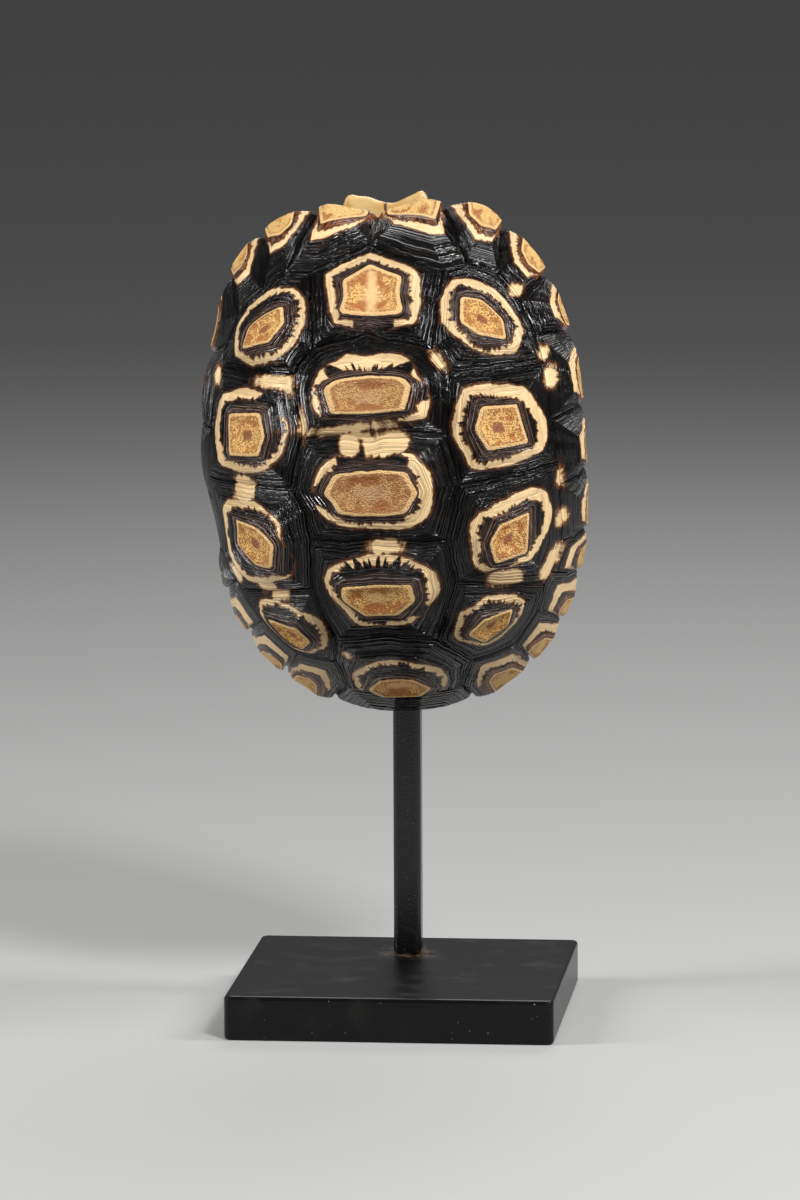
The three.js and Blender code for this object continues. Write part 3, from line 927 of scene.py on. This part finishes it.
def plastron_arrays():
    """The plastron's points, horn faces, bone faces and data: scutes grown on the outer face,
    an edge rounded over half a circle, and the inner face in rows shrinking to its middle."""
    sheet = Sheet(plastron_skin, 1.0, np.inf)
    scutes, outline = plastron_halves()
    for corners in scutes:
        places = np.array([place for _, place in corners])
        middle = places.mean(axis=0)
        areola = middle + (places - middle) * PLASTRON_AREOLA
        sheet.grow("plastral", corners, areola, plain_band(PLASTRAL_BAND))
    loop = np.concatenate([sheet.seam(a, b) for a, b in zip(outline, outline[1:] + outline[:1])])
    chart = sheet.points
    lift = sheet.lift[:, None] * PLASTRON_RELIEF
    outer = plastron_skin(chart) + normals_of(plastron_skin, chart) * lift
    edge = rounded(chart[loop], 1)
    tangent = np.roll(edge, -1, axis=0) - np.roll(edge, 1, axis=0)
    away = vec(tangent[:, 1], -tangent[:, 0]) / np.linalg.norm(tangent, axis=1)[:, None]
    half = PLASTRON_THICKNESS / 2
    rows = []
    for turn in np.linspace(0, np.pi, PLASTRON_EDGE_ROWS + 1)[1:]:
        row = plastron_skin(edge + away * PLASTRON_BULGE * half * np.sin(turn))
        row[:, 2] += half * (1 - np.cos(turn))
        rows.append(row)
    for share in np.linspace(1, 0, PLASTRON_INNER_ROWS + 1)[1:-1]:
        row = plastron_skin(edge * share)
        row[:, 2] += PLASTRON_THICKNESS
        rows.append(row)
    first = len(outer)
    count = len(rows) * len(loop)
    grid = np.vstack([loop, np.arange(first, first + count).reshape(len(rows), -1)])
    added = np.concatenate([*rows, [[0, 0, PLASTRON_FACE + PLASTRON_THICKNESS]]])
    points = np.concatenate([outer, added])
    edge = ring_quads(grid[:PLASTRON_EDGE_ROWS + 1])
    quads, cap = closed_faces(grid[PLASTRON_EDGE_ROWS:], first + count)
    wrapped = points[quads][..., 1].mean(axis=1) > HORN_WRAPS_FROM
    data = {key: np.concatenate([values, np.broadcast_to(SEAM_DATA[key], (count + 1, 3))])
            for key, values in sheet.data.items()}
    data["growth"][first:] = vec(0.1, np.abs(added[:, 0] - PLASTRON_MIDDLE), 9.0)
    return points, sheet.faces + [edge, quads[wrapped]], [quads[~wrapped], cap], data


# ---- into the model's frame


def turned(vector, angle):
    """A vector turned about the upright axis."""
    x, y, z = vector
    return (x * np.cos(angle) - y * np.sin(angle), x * np.sin(angle) + y * np.cos(angle), z)


AXES = np.array([
    turned((np.cos(SHELL_ROLL), 0, np.sin(SHELL_ROLL)), -SHELL_TURN),
    turned((-np.sin(SHELL_ROLL), 0, np.cos(SHELL_ROLL)), -SHELL_TURN),
    turned((0, -1, 0), -SHELL_TURN),
])


def make_piece(name, points, horn, bone, data, finishes):
    """A mesh object at the origin from points in the shell's axes, with its horn faces in the
    first material slot and its bone faces in the second."""
    mesh = bpy.data.meshes.new(name)
    faces = [face for group in horn + bone for face in group.tolist()]
    mesh.from_pydata(((SHELL_CENTRE + points @ AXES) * MM).tolist(), [], faces)
    slots = np.zeros(len(faces), int)
    slots[sum(len(group) for group in horn):] = 1
    mesh.polygons.foreach_set("material_index", slots)
    mesh.polygons.foreach_set("use_smooth", np.ones(len(faces), bool))
    for key, values in data.items():
        rows = np.zeros((len(points), 3))
        rows[:len(values)] = values
        mesh.attributes.new(key, "FLOAT_VECTOR", "POINT").data.foreach_set("vector", rows.ravel())
    for finish in finishes:
        mesh.materials.append(finish)
    piece = bpy.data.objects.new(name, mesh)
    bpy.context.scene.collection.objects.link(piece)
    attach(piece, "root")
    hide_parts("tortoise_shell")
    return piece


# ---- finishes

# The middle of the post and the top of the plate, in the model's frame.
POST_PLACE = (-0.7, 16.7)
BASE_TOP = 9.5
# Heights in the model's frame: the first vertebral areola lies above the one, and the fourth
# and fifth lie below the other.
FIRST_AREOLA_FROM = 147
FOURTH_AREOLA_TO = 104


class Value:
    """A number in a finish's tree of nodes: arithmetic on it adds Math nodes."""

    def __init__(self, finish, socket):
        self.finish = finish
        self.socket = socket

    def math(self, operation, *numbers):
        """One Math node over the numbers."""
        return self.finish.node("Math", 0, numbers, operation=operation)

    def __add__(self, other):
        return self.math("ADD", self, other)

    def __sub__(self, other):
        return self.math("SUBTRACT", self, other)

    def __rsub__(self, other):
        return self.math("SUBTRACT", other, self)

    def __mul__(self, other):
        return self.math("MULTIPLY", self, other)

    __radd__ = __add__

    def absolute(self):
        """Its size without its sign."""
        return self.math("ABSOLUTE", self)

    def fraction(self):
        """What is past the last whole number."""
        return self.math("FRACT", self)

    def at_least(self, other):
        """The larger of the two."""
        return self.math("MAXIMUM", self, other)

    def ramp(self, low, high):
        """An ease from 0 at low to 1 at high."""
        return self.finish.node("MapRange", 0, (self, low, high, 0.0, 1.0),
                                interpolation_type="SMOOTHSTEP")

    def near(self, middle, inner, outer):
        """One near a number, and an ease to 0 from the inner to the outer distance."""
        return 1.0 - (self - middle).absolute().ramp(inner, outer)


class Finish:
    """A material under construction."""

    def __init__(self, name):
        self.material = bpy.data.materials.new(name)
        self.material.use_nodes = True
        self.tree = self.material.node_tree
        self.tree.nodes.clear()

    def node(self, kind, output, inputs=(), **settings):
        """Adds a node with its settings, fills its inputs by number or by name with links or
        plain values, and gives back one of its outputs."""
        made = self.tree.nodes.new("ShaderNode" + kind)
        for key, setting in settings.items():
            setattr(made, key, setting)
        for key, given in inputs.items() if isinstance(inputs, dict) else enumerate(inputs):
            if isinstance(given, Value):
                self.tree.links.new(given.socket, made.inputs[key])
            else:
                made.inputs[key].default_value = given
        return Value(self, made.outputs[output]) if made.outputs else None

    def place(self):
        """The object's own coordinates in millimetres."""
        return self.scaled(self.node("TexCoord", "Object"), 1 / MM)

    def scaled(self, vector, factor):
        """A vector times a number."""
        return self.node("VectorMath", 0, {0: vector, "Scale": factor}, operation="SCALE")

    def vector(self, x, y, z):
        """A vector from three numbers."""
        return self.node("CombineXYZ", 0, (x, y, z))

    def split(self, vector):
        """The three numbers of a vector."""
        return [self.node("SeparateXYZ", k, [vector]) for k in range(3)]

    def parts(self, name):
        """The three numbers of an attribute."""
        return self.split(self.node("Attribute", "Vector", attribute_name=name))

    def noise(self, vector, scale, detail=2.0, roughness=0.5):
        """Soft noise between 0 and 1."""
        return self.node("TexNoise", 0, {"Vector": vector, "Scale": scale, "Detail": detail,
                                         "Roughness": roughness})

    def cells(self, vector, scale):
        """The distance to the middle of the nearest cell, in cells."""
        return self.node("TexVoronoi", "Distance", {"Vector": vector, "Scale": scale})

    def blend(self, first, second, share):
        """A colour that goes from the first to the second, each a link or red, green and
        blue."""
        first, second = [c if isinstance(c, Value) else (*c, 1) for c in (first, second)]
        return self.node("Mix", 2, {0: share, 6: first, 7: second}, data_type="RGBA")

    def bump(self, height, depth):
        """A normal from a height between 0 and 1 that stands for so many millimetres."""
        return self.node("Bump", 0, {"Height": height, "Distance": depth * MM, "Strength": 1.0})

    def surface(self, **inputs):
        """Closes the tree with a principled shader and gives back the material."""
        named = {key.replace("_", " ").title().replace("Ior", "IOR"): value
                 for key, value in inputs.items()}
        self.node("OutputMaterial", 0, [self.node("BsdfPrincipled", 0, named)])
        return self.material


class Scute:
    """What the horn's colours read of a scute: each point's values, and the noises that more
    than one colour uses."""

    def __init__(self, f):
        self.ring, self.to_seam, self.past = f.parts("growth")
        self.inside, self.outside, self.phase = f.parts("cream")
        self.cosine, self.sine, self.tone = f.parts("ray")
        self.vertebral, self.costal, self.marginal = f.parts("kind")
        self.patch = f.parts("patch")[0]
        place = f.place()
        self.x, _, self.z = f.split(place)
        self.spoke = f.vector(self.cosine, self.sine, self.tone * 9.0)
        self.teeth = f.noise(f.scaled(self.spoke, 8.0), 1.0, 3.0)
        self.rough = f.noise(place, 1.1, 3.0)
        self.mottle = f.noise(place, 0.45, 3.0)
        self.granules = f.cells(place, 2.7)
        self.grain = f.noise(self.around(f, 3.0, 1.6), 1.0, 4.0)

    def around(self, f, turn_scale, ring_scale):
        """Coordinates in which noise is drawn out along the growth rings."""
        return f.vector(self.cosine * turn_scale, self.sine * turn_scale,
                        self.phase * ring_scale + self.tone * 40.0)


def cream_shares(f, s):
    """Where the horn is cream, and the brown fringe round that: between a band's two edges,
    with dark teeth that run in from the areola's side, or in a patch."""
    long_teeth = s.z.ramp(FIRST_AREOLA_FROM, FIRST_AREOLA_FROM + 3)
    long_teeth = s.vertebral * s.sine.ramp(.6, .95) * (1.0 - long_teeth)
    bite = (s.teeth - 0.45).at_least(0.0) * (4.0 + long_teeth * 8.0 - s.marginal * 1.5)
    lobes = f.noise(f.scaled(s.spoke, 2.3), 1.0, 2.0)
    band_in = s.inside - bite + (s.rough - 0.5) * 0.4
    band_out = s.outside + (lobes - 0.5) * 1.2 + (s.teeth - 0.5) * 0.8
    spot_in = s.patch + (s.teeth - 0.5) * 1.6 + (s.rough - 0.5) * 0.9
    cream = (band_in.ramp(-.1, .36) * band_out.ramp(-.08, .26)).at_least(spot_in.ramp(-.15, .4))
    brown = (band_in.ramp(-.7, .1) * band_out.ramp(-.8, .1)).at_least(spot_in.ramp(-.6, .1))
    return cream, brown


def growth_colour(f, s, cream, brown):
    """Black growth rings, grey next to a large scute's areola and red-brown next to a
    marginal's, with the brown fringe and the cream over them."""
    black = f.blend((.0025, .002, .0018), (.016, .011, .009), s.grain.ramp(.5, .75))
    close = ((s.phase * 2.0).fraction() - 0.5).absolute().ramp(.15, .5)
    grey = f.blend((.014, .007, .006), (.26, .16, .12), close * s.grain.ramp(.25, .6))
    smear = (s.teeth * 0.6 + s.rough * 0.5).ramp(.45, .62)
    red = f.blend((.02, .007, .004), (.24, .075, .02), smear)
    beside = 1.0 - s.past.ramp(1.2, 3.0)
    colour = f.blend(black, grey, beside * (1.0 - s.marginal))
    colour = f.blend(colour, red, beside * s.marginal)
    colour = f.blend(colour, (.19, .06, .017), brown * (0.35 + s.grain * 0.7))
    line = (s.phase.fraction() - 0.5).absolute().ramp(.22, .5)
    ivory = f.blend((.80, .57, .30), (.62, .37, .15), line * s.grain * 0.5 + (s.rough - 0.55))
    return f.blend(colour, ivory, cream)


def areola_colour(f, s):
    """Tan grains with brown mottling, plain ochre on the marginals, a pale crown and keel on
    the vertebrals, a dark star on the costals, and a pale rim inside a brown line."""
    grains = f.blend((.36, .155, .032), (.76, .47, .15), (1.0 - s.granules).ramp(.3, .62))
    ochre = f.blend((.64, .40, .13), (.46, .21, .045), s.mottle.ramp(.45, .7))
    colour = f.blend(grains, ochre, s.marginal * 0.85)
    upright = s.sine.absolute().ramp(.45, .95) * (s.ring + 1.0).ramp(.15, .5)
    browns = s.mottle + upright * 0.16 * s.vertebral + s.ring.ramp(-.8, -.3) * 0.06
    core = 1.0 - s.ring.ramp(-.3, -.12)
    colour = f.blend(colour, (.32, .085, .004), browns.ramp(.54, .70) * core * 0.85)
    crown = 1.0 - (s.ring + 1.0).ramp(.05, .5)
    colour = f.blend(colour, (.66, .42, .20), crown * s.vertebral * 0.6)
    across = s.x - SHELL_CENTRE[0] + (s.z - SHELL_CENTRE[2]) * float(np.tan(SHELL_ROLL))
    on_first = s.z.ramp(FIRST_AREOLA_FROM - 1, FIRST_AREOLA_FROM + 1)
    keel = across.near(0.0, 0.2, 1.7) * on_first * s.vertebral
    colour = f.blend(colour, (.76, .50, .22), keel * 0.8)
    past_fourth = s.z.ramp(FOURTH_AREOLA_TO - 4, FOURTH_AREOLA_TO + 4)
    before_first = 1.0 - s.z.ramp(FIRST_AREOLA_FROM - 4, FIRST_AREOLA_FROM + 2)
    deep = s.vertebral * past_fourth * before_first
    colour = f.blend(colour, (.16, .045, .002), deep * 0.45)
    star = (crown * 1.6 - s.granules - s.mottle * 0.6).ramp(0, .5) * s.costal
    colour = f.blend(colour, (.20, .05, .02), star * 0.9)
    colour = f.blend(colour, (.74, .47, .20), s.ring.ramp(-.15, -.1) * 0.8)
    rim_line = s.ring.near(-0.19, .02, .07) * s.rough.ramp(.35, .6)
    return f.blend(colour, (.28, .10, .025), rim_line * 0.8)


def horn_finish():
    """Polished horn of the carapace: the areola, the growth rings past it, a dark line between
    the two, and a bump of fine ridges or of grains."""
    f = Finish("polished horn")
    s = Scute(f)
    cream, brown = cream_shares(f, s)
    grown = (s.ring + (s.rough - 0.5) * 0.06).ramp(-.02, .03)
    colour = f.blend(areola_colour(f, s), growth_colour(f, s, cream, brown), grown)
    dark_line = s.past.near(0.18, .12, .34) * grown * (1.0 - s.marginal * s.rough)
    colour = f.blend(colour, (.03, .012, .008), dark_line)
    shine = 0.48 - grown * 0.35 + cream * grown * 0.18
    fine = f.noise(s.around(f, 2.4, 4.5), 1.0, 2.0, 0.6)
    ridge = 1.0 - ((s.phase * 3.0).fraction() * 2.0 - 1.0).absolute()
    lines = (ridge * 0.3 + fine * 0.65) * (s.past + s.to_seam).ramp(1.5, 5.0)
    grains = (1.0 - s.granules) * 0.3
    height = lines * grown * (1.0 - cream * 0.5) + grains * (1.0 - grown)
    return f.surface(base_color=colour, roughness=shine, normal=f.bump(height, 1.0))


def bone_finish():
    """Dry pale bone on the inside."""
    f = Finish("dry bone")
    place = f.place()
    stain = f.noise(place, 0.06, 4.0)
    pores = f.noise(place, 1.6, 3.0)
    colour = f.blend((.60, .48, .31), (.40, .26, .13), stain.ramp(.4, .7))
    return f.surface(base_color=colour, roughness=0.75, normal=f.bump(pores, 0.12))


def plastron_finish():
    """Yellow cream horn with dark blotches and brown lines along the growth rings and the
    seams."""
    f = Finish("plastron horn")
    ring, to_seam, _ = f.parts("growth")
    phase = f.parts("cream")[2]
    cosine, sine, tone = f.parts("ray")
    cloud = f.noise(f.place(), .15, 3.0)
    colour = f.blend((.56, .38, .15), (.46, .27, .08), cloud.ramp(.4, .65))
    blotch = f.noise(f.vector(cosine * 1.6, sine * 1.6, tone * 30.0 + ring * 0.6), 1.0, 3.0)
    colour = f.blend(colour, (.022, .012, .008), blotch.ramp(.52, .6) * ring.ramp(.2, .5))
    line = (phase.fraction() - 0.5).absolute().ramp(.35, .5)
    colour = f.blend(colour, (.25, .11, .03), line * ring.ramp(.1, .3) * 0.35)
    streak = f.noise(f.vector(cloud * 2.0, sine, tone), 3.0, 2.0)
    colour = f.blend(colour, (.44, .24, .075), streak.ramp(.5, .7) * 0.4)
    colour = f.blend(colour, (.07, .025, .01), 1.0 - to_seam.ramp(.12, .5))
    grown = f.noise(f.vector(cosine * 6.0, sine * 6.0, phase * 2.0), 1.0, 3.0)
    ripples = phase.fraction() * 0.3 + cloud + grown * 0.6
    return f.surface(base_color=colour, roughness=0.36, normal=f.bump(ripples, 0.5))


def specks(f, place, size, share):
    """Dust: a dot in some of the cells, as large as the share of a cell."""
    dots = 1.0 - f.cells(place, 1 / size).ramp(share * 0.6, share)
    return dots * f.noise(place, 0.3 / size, 1.0).ramp(.52, .56)


def post_finish():
    """Thick black paint with a slightly rough skin and fine dust."""
    f = Finish("black post paint")
    place = f.place()
    dust = specks(f, place, 1.2, 0.09)
    skin = f.noise(place, 2.4, 2.0)
    worn = f.noise(place, 0.5, 4.0).ramp(.55, .75)
    colour = f.blend((.002, .002, .0022), (.02, .018, .016), worn * 0.4)
    colour = f.blend(colour, (.25, .23, .21), dust * 0.6)
    return f.surface(base_color=colour, roughness=0.2 + worn * 0.12, normal=f.bump(skin, 0.06))


def base_finish():
    """Black lacquer with dust, faint smears, and brownish residue round the post's foot."""
    f = Finish("black base lacquer")
    place = f.place()
    dust = specks(f, place, 1.7, 0.07).at_least(specks(f, place, 4.0, 0.05))
    smear = f.noise(place, 0.12, 4.0).ramp(.5, .75)
    offset = f.node("VectorMath", 0, (place, (*POST_PLACE, BASE_TOP)), operation="SUBTRACT")
    reach = f.node("VectorMath", "Value", [offset], operation="LENGTH")
    residue = (1.0 - reach.ramp(3.5, 9.0)) * f.noise(place, 0.7, 4.0).ramp(.42, .62)
    colour = f.blend((.0016, .0016, .0018), (.009, .008, .007), smear)
    colour = f.blend(colour, (.11, .07, .035), residue * 0.6)
    colour = f.blend(colour, (.30, .27, .23), dust * 0.8)
    return f.surface(base_color=colour, roughness=0.30 + smear * 0.12 + residue * 0.2,
                     specular_ior_level=0.25, normal=f.bump(f.noise(place, 1.0, 3.0), 0.03))


def zinc_finish():
    """Zinc plating."""
    f = Finish("zinc plate")
    return f.surface(base_color=(.55, .56, .58, 1), metallic=1.0, roughness=0.35)


def floor_finish():
    """Plain pale grey."""
    f = Finish("pale floor")
    return f.surface(base_color=(.38, .38, .375, 1), roughness=0.8)


# ---- the pieces

bone = bone_finish()
make_piece("carapace", *carapace_arrays(), [horn_finish(), bone])
make_piece("plastron", *plastron_arrays(), [plastron_finish(), bone])
STAND = {"stand_post": post_finish(), "stand_base": base_finish(), "post_screw": zinc_finish()}
for node, finish in STAND.items():
    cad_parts[node].data.materials[0] = finish

# ---- floor, light and camera, in metres

CAMERA_AZIMUTH = np.radians(5.70)
CAMERA_ELEVATION = np.radians(8.15)
CAMERA_ROLL = np.radians(-0.232)
CAMERA_DISTANCE = 1.5684
CAMERA_LENS = 219.9
CAMERA_TARGET = np.array([-0.00058, 0, 0.08945])
LIT_PLACE = np.array([0, 0, 0.11])
FLOOR_REACH = 9


def add_object(name, data):
    """A new object in the scene."""
    made = bpy.data.objects.new(name, data)
    bpy.context.scene.collection.objects.link(made)
    return made


def looking(back, roll=0.0):
    """The axes of a camera or a light whose back points that way, as columns."""
    back = np.array(back) / np.linalg.norm(back)
    side = np.cross((0, 0, 1), back)
    side = side / np.linalg.norm(side)
    up = np.cross(back, side)
    rolled = side * np.cos(roll) + up * np.sin(roll)
    return np.column_stack([rolled, np.cross(back, rolled), back])


def placed(made, axes, location):
    """Puts an object at a location with its axes turned."""
    matrix = np.eye(4)
    matrix[:3, :3] = axes
    matrix[:3, 3] = location
    made.matrix_world = Matrix(matrix.tolist())


def soft_light(name, direction, distance, width, height, power):
    """A rectangular soft box that faces the shell."""
    lamp = bpy.data.lights.new(name, "AREA")
    lamp.shape = "RECTANGLE"
    lamp.size = width
    lamp.size_y = height
    lamp.energy = power
    direction = np.array(direction, float) / np.linalg.norm(direction)
    placed(add_object(name, lamp), looking(direction), LIT_PLACE + direction * distance)


back = np.array([np.sin(CAMERA_AZIMUTH) * np.cos(CAMERA_ELEVATION),
                 -np.cos(CAMERA_AZIMUTH) * np.cos(CAMERA_ELEVATION), np.sin(CAMERA_ELEVATION)])
lens = bpy.data.cameras.new("camera")
lens.sensor_fit = "AUTO"
lens.sensor_width = 36
lens.lens = CAMERA_LENS
lens.clip_start = 0.1
camera = add_object("camera", lens)
placed(camera, looking(back, CAMERA_ROLL), CAMERA_TARGET + back * CAMERA_DISTANCE)
bpy.context.scene.camera = camera

floor_mesh = bpy.data.meshes.new("floor")
corners = [(x * FLOOR_REACH, y * FLOOR_REACH, 0) for x, y in ((-1, -1), (1, -1), (1, 1), (-1, 1))]
floor_mesh.from_pydata(corners, [], [(0, 1, 2, 3)])
floor_mesh.materials.append(floor_finish())
add_object("floor", floor_mesh)

soft_light("key soft box", (0.5, -0.75, 0.75), 0.8, 0.16, 0.16, 6.0)
soft_light("left soft box", (-0.9, -0.3, 0.45), 0.7, 0.12, 0.5, 4.5)
soft_light("right soft box", (0.95, -0.05, 0.7), 0.7, 0.12, 0.3, 3.0)
soft_light("back soft box", (0.1, 0.9, 0.8), 0.9, 0.5, 0.4, 2.5)
world = bpy.data.worlds.new("studio")
world.use_nodes = True
background = world.node_tree.nodes["Background"].inputs
background["Color"].default_value = (.8, .8, .82, 1)
background["Strength"].default_value = 0.14
bpy.context.scene.world = world
bpy.context.scene.view_settings.view_transform = "Standard"
